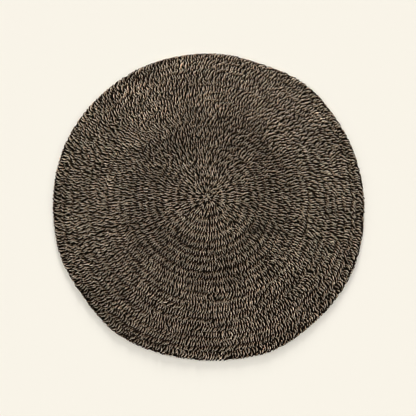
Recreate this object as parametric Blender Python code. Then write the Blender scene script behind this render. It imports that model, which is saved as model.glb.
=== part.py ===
"""A round raffia rug: one flat mat, worked in closed rounds from its middle out to the edge.

The frame has +Z up. The origin is on the floor, under the middle of the mat's outline.
"""

import math
from collections import namedtuple

import bmesh
import bpy

# Sizes are in metres, bearings in degrees anticlockwise from +X as seen from above.
NODE_NAME = "raffia_rug"
EDGE_RADIUS = 0.750
THICKNESS = 0.014
GROOVE_DEPTH = 0.0030
STEPS_ROUND = 72

# The rounds of stitches. The first ones are tall and the next ones shorter. The last share what is left, and
# are the tallest.
INNER_ROUNDS = 6
INNER_ROUND_WIDTH = 0.0375
MIDDLE_ROUNDS = 8
MIDDLE_ROUND_WIDTH = 0.0340
OUTER_ROUNDS = 6
OUTER_ROUND_WIDTH = (
    EDGE_RADIUS - INNER_ROUNDS * INNER_ROUND_WIDTH - MIDDLE_ROUNDS * MIDDLE_ROUND_WIDTH
) / OUTER_ROUNDS
ROUND_WIDTHS = (
    [INNER_ROUND_WIDTH] * INNER_ROUNDS
    + [MIDDLE_ROUND_WIDTH] * MIDDLE_ROUNDS
    + [OUTER_ROUND_WIDTH] * OUTER_ROUNDS
)

# One round cut through: share of its width, and height above the groove as a share of the groove's depth.
RoundPoint = namedtuple("RoundPoint", "along up")
ROUND_SECTION = (
    RoundPoint(along=0.00, up=0.0),
    RoundPoint(along=0.27, up=1.0),
    RoundPoint(along=0.73, up=1.0),
)

# The edge that follows the last round's crown, down to the floor: inset from the outline, and height.
EdgePoint = namedtuple("EdgePoint", "inset height")
EDGE_SECTION = (
    EdgePoint(inset=0.0030, height=0.0116),
    EdgePoint(inset=0.0000, height=0.0070),
    EdgePoint(inset=0.0022, height=0.0024),
    EdgePoint(inset=0.0065, height=0.0),
)

# Where the first round was begun, from the middle of the outline: the rounds are wider on the -Y side.
START_X = -0.011
START_Y = 0.050

# Hand working leaves flats and bulges in the edge: where they are, how far round they spread, and how far they
# stand out.
Swell = namedtuple("Swell", "bearing spread stands_out")
EDGE_SWELLS = (
    Swell(bearing=333, spread=13, stands_out=0.009),
    Swell(bearing=296, spread=8, stands_out=0.009),
    Swell(bearing=266, spread=14, stands_out=-0.012),
    Swell(bearing=234, spread=7, stands_out=0.006),
    Swell(bearing=214, spread=8, stands_out=-0.005),
    Swell(bearing=198, spread=6, stands_out=0.006),
    Swell(bearing=158, spread=16, stands_out=0.009),
    Swell(bearing=92, spread=10, stands_out=-0.006),
    Swell(bearing=71, spread=7, stands_out=-0.012),
    Swell(bearing=50, spread=6, stands_out=0.007),
)
SWELL_FADE = 3  # the swells die out towards the middle with this power of the radius

RAFFIA_COLOUR = (0.084, 0.065, 0.047, 1.0)
RAFFIA_ROUGHNESS = 0.85

WELD_DISTANCE = 0.0001
SHARP_ANGLE = math.radians(50)


def clear_scene():
    for obj in list(bpy.data.objects):
        bpy.data.objects.remove(obj)


def swell_at(bearing):
    """How far the outline stands out from its circle on this bearing."""
    total = 0.0
    for swell in EDGE_SWELLS:
        away = (bearing - swell.bearing + 180) % 360 - 180
        total += swell.stands_out * math.exp(-0.5 * (away / swell.spread) ** 2)
    return total


def laid_out(radius, bearing):
    """Where a point of the true circle lies in the mat as it was worked: x and y."""
    share = radius / EDGE_RADIUS
    drift = 1 - share**2
    reach = radius + swell_at(bearing) * share**SWELL_FADE
    turn = math.radians(bearing)
    return START_X * drift + reach * math.cos(turn), START_Y * drift + reach * math.sin(turn)


def outline_middle():
    """The middle of the outline's box, which goes over the origin."""
    edge = [laid_out(EDGE_RADIUS, step * 360 / STEPS_ROUND) for step in range(STEPS_ROUND)]
    xs = [x for x, _ in edge]
    ys = [y for _, y in edge]
    return (min(xs) + max(xs)) / 2, (min(ys) + max(ys)) / 2


def mat_section():
    """The mat cut from the middle of its top out over the rounds and the edge, and back under to the middle."""
    points = []
    inner_radius = 0.0
    groove_height = THICKNESS - GROOVE_DEPTH
    for width in ROUND_WIDTHS:
        for point in ROUND_SECTION:
            points.append((inner_radius + point.along * width, groove_height + point.up * GROOVE_DEPTH))
        inner_radius += width
    points += [(EDGE_RADIUS - point.inset, point.height) for point in EDGE_SECTION]
    points.append((0.0, 0.0))
    return points


def spun_mat():
    """The section turned once round the middle, as a closed mesh."""
    bm = bmesh.new()
    verts = [bm.verts.new((radius, 0, height)) for radius, height in mat_section()]
    edges = [bm.edges.new(pair) for pair in zip(verts, verts[1:])]
    bmesh.ops.spin(
        bm,
        geom=verts + edges,
        cent=(0, 0, 0),
        axis=(0, 0, 1),
        angle=2 * math.pi,
        steps=STEPS_ROUND,
        use_merge=True,
    )
    bmesh.ops.remove_doubles(bm, verts=bm.verts, dist=WELD_DISTANCE)
    bmesh.ops.recalc_face_normals(bm, faces=bm.faces)
    return bm


def raffia_material():
    material = bpy.data.materials.new("raffia")
    material.use_nodes = True
    shader = material.node_tree.nodes["Principled BSDF"]
    shader.inputs["Base Color"].default_value = RAFFIA_COLOUR
    shader.inputs["Roughness"].default_value = RAFFIA_ROUGHNESS
    shader.inputs["Metallic"].default_value = 0.0
    return material


def build_rug(collection):
    """The turned mat, drawn over from its true circle to the hand-worked outline."""
    bm = spun_mat()
    middle_x, middle_y = outline_middle()
    for vert in bm.verts:
        radius = math.hypot(vert.co.x, vert.co.y)
        bearing = math.degrees(math.atan2(vert.co.y, vert.co.x))
        x, y = laid_out(radius, bearing)
        vert.co.x = x - middle_x
        vert.co.y = y - middle_y
    mesh = bpy.data.meshes.new(NODE_NAME)
    bm.to_mesh(mesh)
    bm.free()
    mesh.shade_smooth()
    mesh.set_sharp_from_angle(angle=SHARP_ANGLE)
    mesh.materials.append(raffia_material())
    collection.objects.link(bpy.data.objects.new(NODE_NAME, mesh))


def main():
    clear_scene()
    collection = bpy.data.collections.new("raffia rug")
    bpy.context.scene.collection.children.link(collection)
    build_rug(collection)


main()
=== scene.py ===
"""A round raffia rug, seen straight from above on a pale floor.

It is worked in closed rounds from its middle out, in a yarn of an undyed, a browned and a black strand.
Sizes are in metres, bearings in degrees anticlockwise from +X as seen from above.
"""

import math
from collections import namedtuple

import bmesh
import bpy
import numpy as np
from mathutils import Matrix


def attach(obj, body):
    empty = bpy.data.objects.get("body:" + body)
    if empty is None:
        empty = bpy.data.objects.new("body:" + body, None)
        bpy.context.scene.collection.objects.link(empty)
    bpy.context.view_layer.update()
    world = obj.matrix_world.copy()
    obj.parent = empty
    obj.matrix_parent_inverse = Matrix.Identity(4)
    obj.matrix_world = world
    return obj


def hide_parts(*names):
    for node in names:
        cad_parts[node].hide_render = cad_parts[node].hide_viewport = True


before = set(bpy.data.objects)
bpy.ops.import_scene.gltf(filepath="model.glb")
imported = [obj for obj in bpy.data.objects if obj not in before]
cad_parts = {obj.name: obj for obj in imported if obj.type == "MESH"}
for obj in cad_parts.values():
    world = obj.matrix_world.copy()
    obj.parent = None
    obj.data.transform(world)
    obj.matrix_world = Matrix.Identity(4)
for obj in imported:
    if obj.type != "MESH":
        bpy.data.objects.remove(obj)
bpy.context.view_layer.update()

# The inside of the mat. Each stitch is drawn tight over the head of one in the round before it, so between
# the two faces lies a close layer of crossing raffia. It is ribbed by the rounds, follows the rug's uneven
# outline a little way in, and shows only down in the gaps. Its colour is painted shade: near black, for the
# gaps' shade.
EDGE_RADIUS = 0.750
THICKNESS = 0.014
INNER_ROUNDS = 6
INNER_ROUND_WIDTH = 0.0375
MIDDLE_ROUNDS = 8
MIDDLE_ROUND_WIDTH = 0.0340
OUTER_ROUNDS = 6
OUTER_ROUND_WIDTH = (
    EDGE_RADIUS - INNER_ROUNDS * INNER_ROUND_WIDTH - MIDDLE_ROUNDS * MIDDLE_ROUND_WIDTH
) / OUTER_ROUNDS
ROUND_WIDTHS = (
    [INNER_ROUND_WIDTH] * INNER_ROUNDS
    + [MIDDLE_ROUND_WIDTH] * MIDDLE_ROUNDS
    + [OUTER_ROUND_WIDTH] * OUTER_ROUNDS
)
ROUND_COUNT = len(ROUND_WIDTHS)
ROUND_STARTS = np.concatenate([[0.0], np.cumsum(ROUND_WIDTHS)])

# Where the first round was begun, from the middle of the outline. Then the flats and bulges of the edge:
# where they are, how far round they spread, and how far they stand out. They die out towards the middle.
START_X = -0.011
START_Y = 0.050
SWELL_FADE = 3  # they die out with this power of the radius
Swell = namedtuple("Swell", "bearing spread stands_out")
EDGE_SWELLS = (
    Swell(bearing=333, spread=13, stands_out=0.009),
    Swell(bearing=296, spread=8, stands_out=0.009),
    Swell(bearing=266, spread=14, stands_out=-0.012),
    Swell(bearing=234, spread=7, stands_out=0.006),
    Swell(bearing=214, spread=8, stands_out=-0.005),
    Swell(bearing=198, spread=6, stands_out=0.006),
    Swell(bearing=158, spread=16, stands_out=0.009),
    Swell(bearing=92, spread=10, stands_out=-0.006),
    Swell(bearing=71, spread=7, stands_out=-0.012),
    Swell(bearing=50, spread=6, stands_out=0.007),
)
EDGE_BEARING_STEP = 5.0

# The layer's section. A round's crown lies between these shares of its width.
INSIDE_CROWN = 0.0085
INSIDE_GROOVE = 0.0070
INSIDE_BOTTOM = 0.0050
INSIDE_INSET = 0.0042
INSIDE_ROUNDING = 0.0040
CROWN_FROM = 0.27
CROWN_TO = 0.73
INSIDE_STEPS = 96
WELD_DISTANCE = 0.00001

# Its felt of fibres, with the fineness for each metre. Its two colours are painted shade, near black.
FELT_FINENESS = 400.0
FELT_DETAIL = 4.0
FELT_PAINTED_SHADE_DEEP = (0.001, 0.0008, 0.0005, 1.0)
FELT_PAINTED_SHADE_PALE = (0.010, 0.0075, 0.005, 1.0)
FELT_SHADE_AT = 0.35
FELT_LIGHT_AT = 0.75
FELT_ROUGHNESS = 0.9
FELT_BUMP = 0.7
FELT_HEIGHT = 0.001


def swell_at(bearing):
    """How far the outline stands out from its circle on these bearings."""
    total = np.zeros_like(bearing)
    for swell in EDGE_SWELLS:
        away = (bearing - swell.bearing + 180) % 360 - 180
        total += swell.stands_out * np.exp(-0.5 * (away / swell.spread) ** 2)
    return total


def drawn_over(radius, bearing):
    """Points of the true circle where they lie in the mat as it was worked, before it is centred."""
    share = radius / EDGE_RADIUS
    drift = 1 - share**2
    reach = radius + swell_at(bearing) * share**SWELL_FADE
    turn = np.radians(bearing)
    return START_X * drift + reach * np.cos(turn), START_Y * drift + reach * np.sin(turn)


EDGE_BEARINGS = np.arange(0.0, 360.0, EDGE_BEARING_STEP)
EDGE_X, EDGE_Y = drawn_over(np.full_like(EDGE_BEARINGS, EDGE_RADIUS), EDGE_BEARINGS)
MIDDLE_X = (EDGE_X.min() + EDGE_X.max()) / 2
MIDDLE_Y = (EDGE_Y.min() + EDGE_Y.max()) / 2


def laid_out(radius, bearing):
    """Points of the true circle where they lie in the rug: x and y."""
    x, y = drawn_over(radius, bearing)
    return x - MIDDLE_X, y - MIDDLE_Y


def uncoloured(name, roughness, gloss):
    """A new material and its shader, of this finish but with no colour yet."""
    material = bpy.data.materials.new(name)
    material.use_nodes = True
    shader = material.node_tree.nodes["Principled BSDF"]
    shader.inputs["Roughness"].default_value = roughness
    shader.inputs["Specular IOR Level"].default_value = gloss
    return material, shader


def linked(material, kind, **sockets):
    """A new node of the material, with each named socket set to a value or linked from another's output."""
    node = material.node_tree.nodes.new(kind)
    for name, value in sockets.items():
        socket = node.inputs[name.replace("_", " ")]
        if isinstance(value, bpy.types.NodeSocket):
            material.node_tree.links.new(value, socket)
        else:
            socket.default_value = value
    return node


def shaded_between(material, amount, dark, dark_at, light, light_at):
    """The colour that goes from dark to light as the amount does from one place to the other."""
    ramp = linked(material, "ShaderNodeValToRGB", Fac=amount)
    dark_stop, light_stop = ramp.color_ramp.elements
    dark_stop.position = dark_at
    dark_stop.color = dark
    light_stop.position = light_at
    light_stop.color = light
    return ramp.outputs["Color"]


def inside_material():
    """Raffia coloured near black as painted deep shade, with a felt of short crossing fibres."""
    material, shader = uncoloured("raffia in painted shade", FELT_ROUGHNESS, 0.0)
    place = linked(material, "ShaderNodeTexCoord").outputs["Object"]
    felt = linked(material, "ShaderNodeTexNoise", Vector=place, Scale=FELT_FINENESS, Detail=FELT_DETAIL)
    fibres = felt.outputs["Fac"]
    # Painted shade: the felt's colour runs only between two near-black tones.
    colour = shaded_between(material, fibres, FELT_PAINTED_SHADE_DEEP, FELT_SHADE_AT, FELT_PAINTED_SHADE_PALE, FELT_LIGHT_AT)
    bump = linked(material, "ShaderNodeBump", Height=fibres, Strength=FELT_BUMP, Distance=FELT_HEIGHT)
    material.node_tree.links.new(colour, shader.inputs["Base Color"])
    material.node_tree.links.new(bump.outputs["Normal"], shader.inputs["Normal"])
    return material


def inside_section():
    """The inside cut from the middle of its top, out over the rounds, and back under to the middle."""
    points = []
    for start, width in zip(ROUND_STARTS, ROUND_WIDTHS):
        points.append((start, INSIDE_GROOVE))
        points.append((start + CROWN_FROM * width, INSIDE_CROWN))
        points.append((start + CROWN_TO * width, INSIDE_CROWN))
    rim = EDGE_RADIUS - INSIDE_INSET
    points[-1] = (rim - INSIDE_ROUNDING, INSIDE_CROWN)
    points.append((rim, (INSIDE_CROWN + INSIDE_BOTTOM) / 2))
    points.append((rim - INSIDE_ROUNDING, INSIDE_BOTTOM))
    points.append((0.0, INSIDE_BOTTOM))
    return points


def turned(section, axis, steps):
    """A closed form, turned once round the axis from a section of points in the XZ or XY plane."""
    bm = bmesh.new()
    verts = [bm.verts.new(point) for point in section]
    edges = [bm.edges.new(pair) for pair in zip(verts, verts[1:])]
    bmesh.ops.spin(
        bm,
        geom=verts + edges,
        cent=(0, 0, 0),
        axis=axis,
        angle=2 * math.pi,
        steps=steps,
        use_merge=True,
    )
    bmesh.ops.remove_doubles(bm, verts=bm.verts, dist=WELD_DISTANCE)
    bmesh.ops.recalc_face_normals(bm, faces=bm.faces)
    return bm


def filled_mesh(name, bm):
    """The form as a mesh. The form itself is done with."""
    mesh = bpy.data.meshes.new(name)
    bm.to_mesh(mesh)
    bm.free()
    return mesh


def finished(mesh, material):
    """The mesh as a piece at the origin, on the rug's body and with its material."""
    mesh.materials.append(material)
    mesh.shade_smooth()
    piece = bpy.data.objects.new(mesh.name, mesh)
    bpy.context.scene.collection.objects.link(piece)
    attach(piece, "root")
    return piece


inside_points = [(radius, 0, height) for radius, height in inside_section()]
inside_bm = turned(inside_points, (0, 0, 1), INSIDE_STEPS)
for vert in inside_bm.verts:
    bearing = np.degrees(np.arctan2([vert.co.y], [vert.co.x]))
    x, y = laid_out(np.hypot([vert.co.x], [vert.co.y]), bearing)
    vert.co.x = x[0]
    vert.co.y = y[0]
mat_inside = finished(filled_mesh("mat_inside", inside_bm), inside_material())
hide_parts("raffia_rug")

# The stitches of the face. The yarn is three strands of dried leaf twisted together: an undyed, a browned
# and a black one. Each stitch shows two legs of it, a narrow V. A leg comes up between two legs of the
# round before, runs over the crown with the black strand on top about its middle, and goes down again.

# A leg's room along its round, and the strands of its yarn. Their sizes are for legs STRAND_ROOM apart.
LEG_ROOM_AT_MIDDLE = 0.0121
LEG_ROOM_AT_EDGE = 0.0130
STRAND_ROOM = 0.0125
STRAND_HALF_WIDTH = 0.0023
STRAND_HALF_HEIGHT = 0.0020
STRAND_BESIDE = 0.0031
STRAND_ABOVE = 0.0026
STRAND_SIDES = 4
LEG_GIRTHS = (0, 0.70, 0.95, 1.0, 1.0, 1.0, 0.95, 0.70, 0)
ON_TOP = 1 / 4  # the share of a turn at which a strand lies on top of its yarn

# A leg runs from the round before to the round after, in shares of its own round's width. Its ends dip.
LEG_FROM = -0.18
LEG_TO = 1.15
LEG_MIDDLE = 0.5
FACE_HEIGHT = THICKNESS - STRAND_ABOVE - STRAND_HALF_HEIGHT
INNER_END_DROP = 0.0017
OUTER_END_DROP = 0.0029
CROWN_FLATNESS = 2.2
BEND_ROUNDNESS = 1.2
CENTRE_HOLE = 0.0065
V_OPENS = 1.5
MOST_LEAN = 42.0

# What changes from round to round, and slowly along a round. A spread is the fewest degrees that it takes.
LEAN_DRIFT_SPREAD = 12.0
PHASE_DRIFT_SPREAD = 12.0
BOW_DRIFT = 0.35
BOW_DRIFT_SPREAD = 12.0
TONE_OF_A_ROUND = 0.05
TONE_DRIFT = 0.09
TONE_DRIFT_SPREAD = 9.0

# What changes from patch to patch, two or three legs wide: the black strand's girth and the yarn's tone.
PATCH_SIZE = 0.030
BLACK_PATCHES = 0.24
TONE_PATCHES = 0.08

# What changes from leg to leg, as hand work does.
LEAN_OF_A_LEG = 7.0
YARN_LAY_SPREAD = 0.005
UNEVEN_BOW = 0.0008
UNEVEN_SPACING = 0.08
UNEVEN_START = 0.06
UNEVEN_LIFT = 0.0006
UNEVEN_GIRTH = 0.12
WANDER = 0.0009
LUMPS = 0.07

# The rug's far side has painted light: its yarn's tone is paler towards it and darker on the near side, as
# the low window light falls. On its near side the stitches are worked more alike, so rows show.
PAINTED_LIT_SIDE = 80.0
PAINTED_LIGHT_GRADIENT = 0.22
TIDY_SIDE = 268.0
TIDINESS = 0.62
BLACK_ON_TIDY_SIDE = 0.07
PALE_ON_TIDY_SIDE = 0.03

# How the work changes from the middle out: the yarn's tone, the girth of its black strand, the length of one
# turn of the yarn, a leg's bow to one side, how much the place where the black shows differs, in turns, and
# a leg's lean, in degrees.
FaceBand = namedtuple(
    "FaceBand",
    "radius tone black lay bow"
    " phase_of_a_round phase_drift phase_of_a_leg"
    " lean lean_of_a_round lean_drift",
)
FACE_BANDS = (
    FaceBand(0.000, 1.23, 1.10, 0.0350, 0.0010, 0.03, 0.05, 0.07, -12.5, 6.0, 8.0),
    FaceBand(0.100, 1.30, 1.10, 0.0350, 0.0020, 0.03, 0.05, 0.07, -11.5, 6.0, 8.0),
    FaceBand(0.200, 1.12, 1.08, 0.0345, 0.0030, 0.04, 0.07, 0.08, -10.0, 6.0, 9.0),
    FaceBand(0.270, 0.99, 1.12, 0.0340, 0.0035, 0.05, 0.11, 0.13, -10.0, 6.0, 9.0),
    FaceBand(0.390, 0.99, 1.16, 0.0330, 0.0040, 0.06, 0.12, 0.14, -9.0, 7.0, 9.0),
    FaceBand(0.460, 1.15, 1.04, 0.0320, 0.0045, 0.07, 0.12, 0.14, -8.0, 7.0, 10.0),
    FaceBand(0.560, 1.20, 1.00, 0.0310, 0.0060, 0.09, 0.14, 0.14, -6.5, 8.0, 10.0),
    FaceBand(0.620, 1.16, 1.00, 0.0310, 0.0070, 0.10, 0.15, 0.15, -5.0, 8.0, 10.0),
    FaceBand(0.700, 1.20, 1.00, 0.0310, 0.0070, 0.10, 0.15, 0.15, -4.5, 7.0, 10.0),
    FaceBand(0.750, 1.18, 1.00, 0.0310, 0.0070, 0.10, 0.16, 0.17, -4.0, 6.0, 10.0),
)

# Dried leaf. The fineness of its fibres, along the strand and across it, and of its blotches is for a metre.
FIBRE_FINENESS = (60.0, 900.0, 900.0)
FIBRE_DETAIL = 2.0
DARK_FIBRE_AT = 0.30
PALE_FIBRE_AT = 0.70
FIBRE_BUMP = 0.6
FIBRE_HEIGHT = 0.0005
BLOTCH_FINENESS = 230.0
BLOTCH_DETAIL = 2.0
BLOTCH_DARKEST_AT = 0.4
BLOTCH_PALEST_AT = 0.6
LEAVES_APART = 100.0  # two strands are cut from places of the leaf that are up to this far apart

# The form of a strand: its stations; for each of its points the station, angle and girth; and the corners of
# its faces, with how many each has. Then the legs of a round or more, with one array for each value.
LegForm = namedtuple("LegForm", "stations station around girth loops sizes")
Legs = namedtuple(
    "Legs",
    "bearing start width lean bow wander lift middle spread lay phase black_girth tone",
)


def leg_form(girths):
    """A strand laid along X from 0 to 1, turned from its half section: shared by all its copies."""
    stations = np.linspace(0, 1, len(girths))
    half_section = [(station, girth, 0) for station, girth in zip(stations, girths)]
    bm = turned(half_section, (1, 0, 0), STRAND_SIDES)
    bm.verts.index_update()
    places = np.array([vert.co for vert in bm.verts])
    loops = np.array([vert.index for face in bm.faces for vert in face.verts])
    sizes = np.array([len(face.verts) for face in bm.faces])
    bm.free()
    return LegForm(
        stations=stations,
        station=np.rint(places[:, 0] * (len(girths) - 1)).astype(int),
        around=np.arctan2(places[:, 2], places[:, 1]),
        girth=np.hypot(places[:, 1], places[:, 2]),
        loops=loops,
        sizes=sizes,
    )


def drifting(random, bearings, spread):
    """Values about 1 either way that change smoothly round the circle, over `spread` degrees or more."""
    orders = np.arange(1, int(180 / spread) + 1)
    weights = random.normal(0, 1, len(orders))
    phases = random.uniform(0, 2 * np.pi, len(orders))
    waves = weights * np.sin(np.radians(bearings)[:, None] * orders + phases)
    return waves.sum(axis=1) / np.sqrt(len(orders) / 2)


def face_band(radius):
    """How the work looks at this distance from the middle, between the nearest two bands."""
    radii = [band.radius for band in FACE_BANDS]
    return FaceBand(*(np.interp(radius, radii, column) for column in zip(*FACE_BANDS)))


def worked_round(seed, number):
    """The legs of one round, each with its bearing, its lean and how it strays from its neighbours."""
    random = np.random.default_rng([seed, number])
    width = ROUND_WIDTHS[number - 1]
    middle = ROUND_STARTS[number - 1] + width / 2
    band = face_band(middle)
    room = LEG_ROOM_AT_MIDDLE + (LEG_ROOM_AT_EDGE - LEG_ROOM_AT_MIDDLE) * middle / EDGE_RADIUS
    count = round(2 * math.pi * middle / room)
    steps = np.arange(count)
    bearing = 360 / count * (steps + random.uniform(0, 1))
    patch = math.degrees(PATCH_SIZE / middle)
    on_tidy_side = np.cos(np.radians(bearing - TIDY_SIDE))
    on_painted_lit_side = np.cos(np.radians(bearing - PAINTED_LIT_SIDE))
    untidy = 1 - TIDINESS * on_tidy_side

    lean = band.lean + random.normal(0, band.lean_of_a_round)
    phase = random.normal(0, band.phase_of_a_round)
    tone = math.log(band.tone) + random.normal(0, TONE_OF_A_ROUND)
    lean = lean + band.lean_drift * drifting(random, bearing, LEAN_DRIFT_SPREAD)
    phase = phase + untidy * band.phase_drift * drifting(random, bearing, PHASE_DRIFT_SPREAD)
    tone = tone + TONE_DRIFT * drifting(random, bearing, TONE_DRIFT_SPREAD)
    bow = band.bow * (1 + BOW_DRIFT * drifting(random, bearing, BOW_DRIFT_SPREAD))
    black = math.log(band.black) + BLACK_PATCHES * drifting(random, bearing, patch)
    black += BLACK_ON_TIDY_SIDE * on_tidy_side
    tone += PALE_ON_TIDY_SIDE * on_tidy_side
    tone += TONE_PATCHES * drifting(random, bearing, patch)
    # Painted light: the yarn is made paler towards the far side and darker towards the near side, more so
    # further out.
    tone += PAINTED_LIGHT_GRADIENT * middle / EDGE_RADIUS * on_painted_lit_side

    lean += V_OPENS * np.where(steps % 2, 1, -1) + random.normal(0, LEAN_OF_A_LEG, count)
    return Legs(
        bearing=bearing + 360 / count * random.normal(0, UNEVEN_SPACING, count),
        start=ROUND_STARTS[number - 1] + random.normal(0, UNEVEN_START * width, count),
        width=np.full(count, width),
        lean=np.clip(lean, -MOST_LEAN, MOST_LEAN),
        bow=bow + random.normal(0, UNEVEN_BOW, count),
        wander=random.normal(0, WANDER, count),
        lift=random.normal(0, UNEVEN_LIFT, count),
        middle=np.full(count, middle),
        spread=np.full(count, room / STRAND_ROOM),
        lay=band.lay + random.normal(0, YARN_LAY_SPREAD, count),
        phase=phase + untidy * random.normal(0, band.phase_of_a_leg, count),
        black_girth=np.exp(black),
        tone=np.exp(tone),
    )


def worked_rounds(seed, first, last):
    """The legs of these rounds together."""
    rounds = [worked_round(seed, number) for number in range(first, last + 1)]
    return Legs(*(np.concatenate(column) for column in zip(*rounds)))


def leg_lines(legs, along, height):
    """The middle lines of the yarn, from shares of the round's width and heights at the leg's stations."""
    radius = legs.start[:, None] + legs.width[:, None] * along
    sideways = (
        -np.tan(np.radians(legs.lean))[:, None] * legs.width[:, None] * (along - LEG_MIDDLE)
        + legs.bow[:, None] * (1 - np.abs(2 * along - 1) ** BEND_ROUNDNESS)
        + legs.wander[:, None] * np.sin(2 * np.pi * along)
    )
    bearing = legs.bearing[:, None] + np.degrees(sideways / legs.middle[:, None])
    x, y = laid_out(np.maximum(radius, CENTRE_HOLE), bearing)
    return np.stack([x, y, height + legs.lift[:, None]], axis=2)


def unit(vectors):
    """The vectors at a length of 1."""
    return vectors / np.linalg.norm(vectors, axis=-1, keepdims=True)


def directions(legs, lines):
    """Unit vectors across each line, round the rug, and out of its surface."""
    turn = np.radians(legs.bearing)
    across = np.stack([-np.sin(turn), np.cos(turn), np.zeros_like(turn)], axis=1)[:, None, :]
    along = unit(np.gradient(lines, axis=1))
    across = unit(across - (across * along).sum(axis=2, keepdims=True) * along)
    return across, np.cross(along, across)


def distance_along(lines):
    """How far each point of each line is from the line's start."""
    steps = np.linalg.norm(np.diff(lines, axis=1), axis=2)
    return np.concatenate([np.zeros((len(lines), 1)), np.cumsum(steps, axis=1)], axis=1)


def strand_mesh(name, random, form, lines, across, above, spread, girth, tone):
    """One mesh of like strands, with their tone and the run of their fibres as attributes."""
    count, points_each = len(lines), len(form.girth)
    lumps = random.normal(1, LUMPS, (count, len(form.stations)))[:, form.station]
    girth = girth[:, None] * form.girth * lumps * random.normal(1, UNEVEN_GIRTH, (count, 1))
    wide = (STRAND_HALF_WIDTH * spread[:, None] * girth * np.cos(form.around))[:, :, None]
    high = (STRAND_HALF_HEIGHT * girth * np.sin(form.around))[:, :, None]
    points = lines[:, form.station] + across[:, form.station] * wide + above[:, form.station] * high
    points[:, :, 2] = np.maximum(points[:, :, 2], 0.0)

    mesh = bpy.data.meshes.new(name)
    mesh.vertices.add(count * points_each)
    mesh.vertices.foreach_set("co", points.reshape(-1).astype(np.float32))
    loops = (form.loops + points_each * np.arange(count)[:, None]).reshape(-1)
    mesh.loops.add(len(loops))
    mesh.loops.foreach_set("vertex_index", loops.astype(np.int32))
    sizes = np.tile(form.sizes, count)
    mesh.polygons.add(len(sizes))
    mesh.polygons.foreach_set("loop_start", (np.cumsum(sizes) - sizes).astype(np.int32))
    mesh.update(calc_edges=True)

    tones = mesh.attributes.new("tone", "FLOAT", "POINT")
    tones.data.foreach_set("value", np.repeat(tone, points_each).astype(np.float32))
    apart = random.uniform(0, LEAVES_APART, (count, 1))
    run = distance_along(lines)[:, form.station] + apart
    beside = STRAND_HALF_WIDTH * np.cos(form.around) + apart
    up = np.broadcast_to(STRAND_HALF_WIDTH * np.sin(form.around), run.shape)
    grain = np.stack([run, beside, up], axis=2)
    grains = mesh.attributes.new("grain", "FLOAT_VECTOR", "POINT")
    grains.data.foreach_set("vector", grain.reshape(-1).astype(np.float32))
    return mesh


def raffia_material(name, dark_fibre, pale_fibre, roughness, gloss, mottling):
    """Fine fibres along the strand, mottled every few millimetres, times the strand's own tone."""
    material, shader = uncoloured(name, roughness, gloss)
    links = material.node_tree.links
    grain = linked(material, "ShaderNodeAttribute")
    grain.attribute_name = "grain"
    tone = linked(material, "ShaderNodeAttribute")
    tone.attribute_name = "tone"
    place = grain.outputs["Vector"]
    run = linked(material, "ShaderNodeMapping", Vector=place, Scale=FIBRE_FINENESS).outputs["Vector"]
    leaf = linked(material, "ShaderNodeTexNoise", Vector=run, Scale=1.0, Detail=FIBRE_DETAIL)
    fibres = leaf.outputs["Fac"]
    colour = shaded_between(material, fibres, dark_fibre, DARK_FIBRE_AT, pale_fibre, PALE_FIBRE_AT)
    blotches = linked(
        material,
        "ShaderNodeTexNoise",
        Vector=place,
        Scale=BLOTCH_FINENESS,
        Detail=BLOTCH_DETAIL,
    )
    mottled = linked(
        material,
        "ShaderNodeMapRange",
        Value=blotches.outputs["Fac"],
        From_Min=BLOTCH_DARKEST_AT,
        From_Max=BLOTCH_PALEST_AT,
        To_Min=1 - mottling,
        To_Max=1 + mottling,
    )
    both = linked(material, "ShaderNodeMath")
    both.operation = "MULTIPLY"
    links.new(tone.outputs["Fac"], both.inputs[0])
    links.new(mottled.outputs["Result"], both.inputs[1])
    toned = linked(material, "ShaderNodeVectorMath")
    toned.operation = "SCALE"
    links.new(colour, toned.inputs[0])
    links.new(both.outputs["Value"], toned.inputs["Scale"])
    bump = linked(material, "ShaderNodeBump", Height=fibres, Strength=FIBRE_BUMP, Distance=FIBRE_HEIGHT)
    links.new(toned.outputs["Vector"], shader.inputs["Base Color"])
    links.new(bump.outputs["Normal"], shader.inputs["Normal"])
    return material


UNDYED = raffia_material(
    "undyed raffia",
    dark_fibre=(0.252, 0.197, 0.143, 1.0),
    pale_fibre=(0.426, 0.372, 0.304, 1.0),
    roughness=0.62,
    gloss=0.12,
    mottling=0.58,
)
BROWN = raffia_material(
    "browned raffia",
    dark_fibre=(0.136, 0.086, 0.051, 1.0),
    pale_fibre=(0.289, 0.203, 0.136, 1.0),
    roughness=0.62,
    gloss=0.12,
    mottling=0.70,
)
BLACK = raffia_material(
    "black raffia",
    dark_fibre=(0.0026, 0.0014, 0.0008, 1.0),
    pale_fibre=(0.0150, 0.0096, 0.0058, 1.0),
    roughness=0.60,
    gloss=0.01,
    mottling=0.30,
)

# The three strands of the yarn: how far round it each one lies, in turns, its girth and its tone.
Strand = namedtuple("Strand", "name material turn girth tone tone_spread")
PALE_STRAND = Strand("pale_strands", UNDYED, turn=0.0, girth=1.0, tone=1.03, tone_spread=0.15)
BROWN_STRAND = Strand("brown_strands", BROWN, turn=1 / 3, girth=0.90, tone=1.02, tone_spread=0.19)
BLACK_STRAND = Strand("black_strands", BLACK, turn=2 / 3, girth=1.15, tone=1.0, tone_spread=0.19)
STRANDS = (PALE_STRAND, BROWN_STRAND, BLACK_STRAND)


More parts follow.
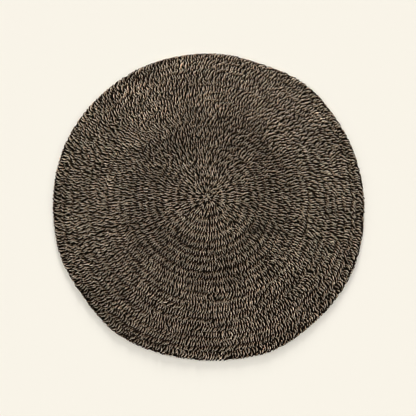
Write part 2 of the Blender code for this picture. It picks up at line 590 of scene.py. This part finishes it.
def lay_yarn(random, where, legs, yarn, form, black_shows_at, rise=STRAND_ABOVE):
    """The yarn of these legs: one piece for each of its strands, wound round the yarn's middle line.

    At the distance black_shows_at along its leg, the black strand stands highest above that line, or lowest
    below it where the rise is negative, as on the underside.
    """
    count = len(legs.bearing)
    across, above = directions(legs, yarn)
    lay = legs.lay[:, None]
    phase = ON_TOP - BLACK_STRAND.turn - black_shows_at / lay + legs.phase[:, None]
    turns = distance_along(yarn) / lay + phase
    for strand in STRANDS:
        winding = 2 * np.pi * (turns + strand.turn)[:, :, None]
        beside = STRAND_BESIDE * legs.spread[:, None, None] * np.cos(winding)
        lines = yarn + beside * across + rise * np.sin(winding) * above
        tone = strand.tone * legs.tone * np.exp(random.normal(0, strand.tone_spread, count))
        girth = strand.girth * (legs.black_girth if strand is BLACK_STRAND else np.ones(count))
        name = f"{strand.name}_{where}"
        mesh = strand_mesh(name, random, form, lines, across, above, legs.spread, girth, tone)
        finished(mesh, strand.material)


FACE_SEED = 1
LAST_INNER_ROUND = INNER_ROUNDS + MIDDLE_ROUNDS
face_random = np.random.default_rng(FACE_SEED)
face_form = leg_form(LEG_GIRTHS)
face_along = LEG_FROM + face_form.stations * (LEG_TO - LEG_FROM)
from_middle = 2 * face_form.stations - 1
end_drop = np.where(from_middle < 0, INNER_END_DROP, OUTER_END_DROP)
face_height = FACE_HEIGHT - end_drop * np.abs(from_middle) ** CROWN_FLATNESS
for where, first_round, last_round in (
    ("inner_rounds", 1, LAST_INNER_ROUND),
    ("outer_rounds", LAST_INNER_ROUND + 1, ROUND_COUNT - 1),
):
    legs = worked_rounds(FACE_SEED, first_round, last_round)
    yarn = leg_lines(legs, face_along, face_height)
    lay_yarn(face_random, where, legs, yarn, face_form, distance_along(yarn)[:, -1:] / 2)

# The edge. The last round, in the same yarn, is worked over the end of the mat: each leg runs out over the
# last crown, turns down round the rim and goes back underneath, so the edge is closed, a little scalloped.
EdgeTurn = namedtuple("EdgeTurn", "inset height")
EDGE_TURNS = (
    EdgeTurn(inset=0.0423, height=0.0068),
    EdgeTurn(inset=0.0368, height=0.0085),
    EdgeTurn(inset=0.0293, height=0.0095),
    EdgeTurn(inset=0.0203, height=0.0095),
    EdgeTurn(inset=0.0123, height=0.0089),
    EdgeTurn(inset=0.0063, height=0.0079),
    EdgeTurn(inset=0.0033, height=0.0069),
    EdgeTurn(inset=0.0023, height=0.0060),
    EdgeTurn(inset=0.0033, height=0.0052),
    EdgeTurn(inset=0.0073, height=0.0048),
    EdgeTurn(inset=0.0153, height=0.0047),
    EdgeTurn(inset=0.0253, height=0.0047),
    EdgeTurn(inset=0.0353, height=0.0048),
    EdgeTurn(inset=0.0423, height=0.0052),
)
EDGE_GIRTHS = (0, 0.75, *[1.0] * (len(EDGE_TURNS) - 4), 0.75, 0)
EDGE_LEAN = -2.0
EDGE_LEAN_SPREAD = 12.0
# Partly painted shade: the black strand, a real strand of the yarn, is set on top where the legs turn down
# round the rim, so the rim is dark as if shaded.
BLACK_ON_RIM_AS_PAINTED_SHADE = 0.041
EDGE_REACH = 1.07
UNEVEN_EDGE_REACH = 0.10
EDGE_SEED = 2
edge_random = np.random.default_rng(EDGE_SEED)
edge_form = leg_form(EDGE_GIRTHS)
edge_legs = worked_round(EDGE_SEED, ROUND_COUNT)
edge_count = len(edge_legs.bearing)
edge_reach = OUTER_ROUND_WIDTH * edge_random.normal(EDGE_REACH, UNEVEN_EDGE_REACH, edge_count)
edge_legs = edge_legs._replace(
    lean=edge_random.normal(EDGE_LEAN, EDGE_LEAN_SPREAD, edge_count),
    start=EDGE_RADIUS - edge_reach,
    width=edge_reach,
)
edge_along = 1 - np.array([turn.inset for turn in EDGE_TURNS]) / OUTER_ROUND_WIDTH
edge_height = np.array([turn.height for turn in EDGE_TURNS])
edge_yarn = leg_lines(edge_legs, edge_along, edge_height)
lay_yarn(edge_random, "edge", edge_legs, edge_yarn, edge_form, BLACK_ON_RIM_AS_PAINTED_SHADE)

# The underside. The backs of stitches in the same yarn lie flat against the floor, a little sunk at both
# ends, with its three strands drawn out straighter and flatter than on the face.
UNDERSIDE_STRAND_BELOW = 0.0012
UNDERSIDE_HEIGHT = 0.0036
UNDERSIDE_END_RISE = 0.0012
UNDERSIDE_GIRTHS = (0, 1.15, 1.25, 1.15, 0)
UNDERSIDE_LAY = 0.060
UNDERSIDE_SEED = 3
underside_random = np.random.default_rng(UNDERSIDE_SEED)
underside_form = leg_form(UNDERSIDE_GIRTHS)
underside_legs = worked_rounds(UNDERSIDE_SEED, 1, ROUND_COUNT - 1)
underside_legs = underside_legs._replace(lay=np.full_like(underside_legs.lay, UNDERSIDE_LAY))
underside_along = LEG_FROM + underside_form.stations * (LEG_TO - LEG_FROM)
underside_height = UNDERSIDE_HEIGHT + UNDERSIDE_END_RISE * (2 * underside_form.stations - 1) ** 2
underside_yarn = leg_lines(underside_legs, underside_along, underside_height)
lay_yarn(
    underside_random,
    "underside",
    underside_legs,
    underside_yarn,
    underside_form,
    distance_along(underside_yarn)[:, -1:] / 2,
    rise=-UNDERSIDE_STRAND_BELOW,
)

# The loose ends. Where the yarn was joined on, the tip of an undyed strand was left on the face: a thin,
# curled bit whose two ends are caught between the stitches. Five longer ones show among the small ones.
LooseEnd = namedtuple("LooseEnd", "x y heading length curl girth tone")
LONG_LOOSE_ENDS = (
    LooseEnd(x=0.598, y=-0.163, heading=4, length=0.032, curl=-0.006, girth=0.9, tone=1.8),
    LooseEnd(x=0.493, y=-0.132, heading=-48, length=0.028, curl=0.002, girth=0.8, tone=1.6),
    LooseEnd(x=0.683, y=0.114, heading=0, length=0.042, curl=-0.011, girth=0.7, tone=1.2),
    LooseEnd(x=0.128, y=-0.630, heading=84, length=0.026, curl=0.001, girth=0.8, tone=1.5),
    LooseEnd(x=0.110, y=-0.628, heading=97, length=0.024, curl=-0.001, girth=0.8, tone=1.4),
)
SHORT_LOOSE_ENDS = 140
SHORTEST_END = 0.010
LONGEST_END = 0.024
FURTHEST_OUT = 0.72
END_HEADING_SPREAD = 40.0
END_CURL = 0.16
END_CURL_LEVEL = 0.5  # a curled end's middle and its tips lie this share of the curl to either side
END_ARCH = 0.0026
END_SINK = 0.0050
END_SINK_SHARPNESS = 4
THINNEST_END = 0.30
THICKEST_END = 0.60
END_TONE_SPREAD = 0.25
END_GIRTHS = (0, 0.7, 1.0, 1.0, 1.0, 0.7, 0)
ENDS_SEED = 4
UP = np.array([0.0, 0.0, 1.0])
ends_random = np.random.default_rng(ENDS_SEED)
ends_form = leg_form(END_GIRTHS)
short_radius = FURTHEST_OUT * np.sqrt(ends_random.uniform(0, 1, SHORT_LOOSE_ENDS))
short_bearing = ends_random.uniform(0, 360, SHORT_LOOSE_ENDS)
short_x, short_y = laid_out(short_radius, short_bearing)
short_length = ends_random.uniform(SHORTEST_END, LONGEST_END, SHORT_LOOSE_ENDS)
short_ends = LooseEnd(
    x=short_x,
    y=short_y,
    heading=short_bearing + ends_random.normal(0, END_HEADING_SPREAD, SHORT_LOOSE_ENDS),
    length=short_length,
    curl=short_length * ends_random.normal(0, END_CURL, SHORT_LOOSE_ENDS),
    girth=ends_random.uniform(THINNEST_END, THICKEST_END, SHORT_LOOSE_ENDS),
    tone=np.exp(ends_random.normal(0, END_TONE_SPREAD, SHORT_LOOSE_ENDS)),
)
ends = LooseEnd(*(np.concatenate(columns) for columns in zip(zip(*LONG_LOOSE_ENDS), short_ends)))
end_count = len(ends.x)
end_heading = np.radians(ends.heading)
end_ahead = np.stack([np.cos(end_heading), np.sin(end_heading), np.zeros(end_count)], axis=1)
end_beside = np.stack([-end_ahead[:, 1], end_ahead[:, 0], np.zeros(end_count)], axis=1)
end_place = np.stack([ends.x, ends.y, np.full(end_count, THICKNESS)], axis=1)
end_from_middle = 2 * ends_form.stations - 1
end_ahead_of_middle = ends.length[:, None] / 2 * end_from_middle
end_beside_line = -ends.curl[:, None] * (end_from_middle**2 - END_CURL_LEVEL)
end_sink = END_SINK * np.abs(end_from_middle) ** END_SINK_SHARPNESS
end_lift = END_ARCH * (1 - end_from_middle**2) - end_sink
end_lines = (
    end_place[:, None, :]
    + end_ahead_of_middle[:, :, None] * end_ahead[:, None, :]
    + end_beside_line[:, :, None] * end_beside[:, None, :]
    + end_lift[None, :, None] * UP
)
end_along = unit(np.gradient(end_lines, axis=1))
end_across = unit(np.cross(UP, end_along))
loose_mesh = strand_mesh(
    "loose_ends",
    ends_random,
    ends_form,
    end_lines,
    end_across,
    np.cross(end_along, end_across),
    np.ones(end_count),
    ends.girth,
    ends.tone,
)
finished(loose_mesh, UNDYED)

# The floor: a plain, matt, pale sheet of card that lies flat under the rug. It is so wide that its edges
# are never seen.
FLOOR_HALF_SIZE = 60.0
FLOOR_COLOUR = (0.90, 0.860, 0.767, 1.0)
FLOOR_ROUGHNESS = 0.9
card, card_shader = uncoloured("pale card", FLOOR_ROUGHNESS, 0.0)
card_shader.inputs["Base Color"].default_value = FLOOR_COLOUR
floor_bm = bmesh.new()
bmesh.ops.create_grid(floor_bm, x_segments=1, y_segments=1, size=FLOOR_HALF_SIZE)
floor_mesh = filled_mesh("floor", floor_bm)
floor_mesh.materials.append(card)
floor = bpy.data.objects.new("floor", floor_mesh)
bpy.context.scene.collection.objects.link(floor)

# The light: a wide panel overhead, a long low window on the far side, a softer one at each end of it, and a
# faint glow from all round. The camera sees the sky in the lit floor's colour, so that no horizon shows.
Lamp = namedtuple("Lamp", "from_bearing elevation width strength")
LAMPS = (
    Lamp(from_bearing=90, elevation=90, width=70, strength=1.73),
    Lamp(from_bearing=90, elevation=10.8, width=12, strength=4.25),
    Lamp(from_bearing=165, elevation=21, width=25, strength=0.87),
    Lamp(from_bearing=15, elevation=21, width=25, strength=0.87),
)
SKY_GLOW = (0.05, 0.05, 0.05, 1.0)
SEEN_SKY = (0.955, 0.905, 0.800, 1.0)
for lamp in LAMPS:
    sun = bpy.data.lights.new("wide light", "SUN")
    sun.energy = lamp.strength
    sun.angle = math.radians(lamp.width)
    sun_lamp = bpy.data.objects.new("wide light", sun)
    sun_lamp.rotation_euler = (math.radians(90 - lamp.elevation), 0, math.radians(lamp.from_bearing + 90))
    bpy.context.scene.collection.objects.link(sun_lamp)

sky = bpy.data.worlds.new("soft sky")
sky.use_nodes = True
background = sky.node_tree.nodes["Background"]
path = sky.node_tree.nodes.new("ShaderNodeLightPath")
sky_colour = sky.node_tree.nodes.new("ShaderNodeMixRGB")
sky_colour.inputs["Color1"].default_value = SKY_GLOW
sky_colour.inputs["Color2"].default_value = SEEN_SKY
sky.node_tree.links.new(path.outputs["Is Camera Ray"], sky_colour.inputs["Fac"])
sky.node_tree.links.new(sky_colour.outputs["Color"], background.inputs["Color"])
bpy.context.scene.world = sky

# The camera looks straight down from far off, through a long lens, a few millimetres off the rug's middle.
# Its film draws a little sharper than usual, and shows colours as they are.
PHOTO_WIDTH = 2.008  # of the floor that the photo shows
CAMERA_LENS = 200.0
CAMERA_SENSOR = 36.0
CAMERA_X = -0.0029
CAMERA_Y = -0.0050
CAMERA_SEES_TO = 100.0
FILM_SHARPNESS = 0.72
camera_data = bpy.data.cameras.new("camera")
camera_data.lens = CAMERA_LENS
camera_data.sensor_width = CAMERA_SENSOR
camera_data.clip_end = CAMERA_SEES_TO
camera = bpy.data.objects.new("camera", camera_data)
camera.location = (CAMERA_X, CAMERA_Y, PHOTO_WIDTH * CAMERA_LENS / CAMERA_SENSOR)
bpy.context.scene.collection.objects.link(camera)
bpy.context.scene.camera = camera
bpy.context.scene.view_settings.view_transform = "Standard"
bpy.context.scene.cycles.filter_width = FILM_SHARPNESS
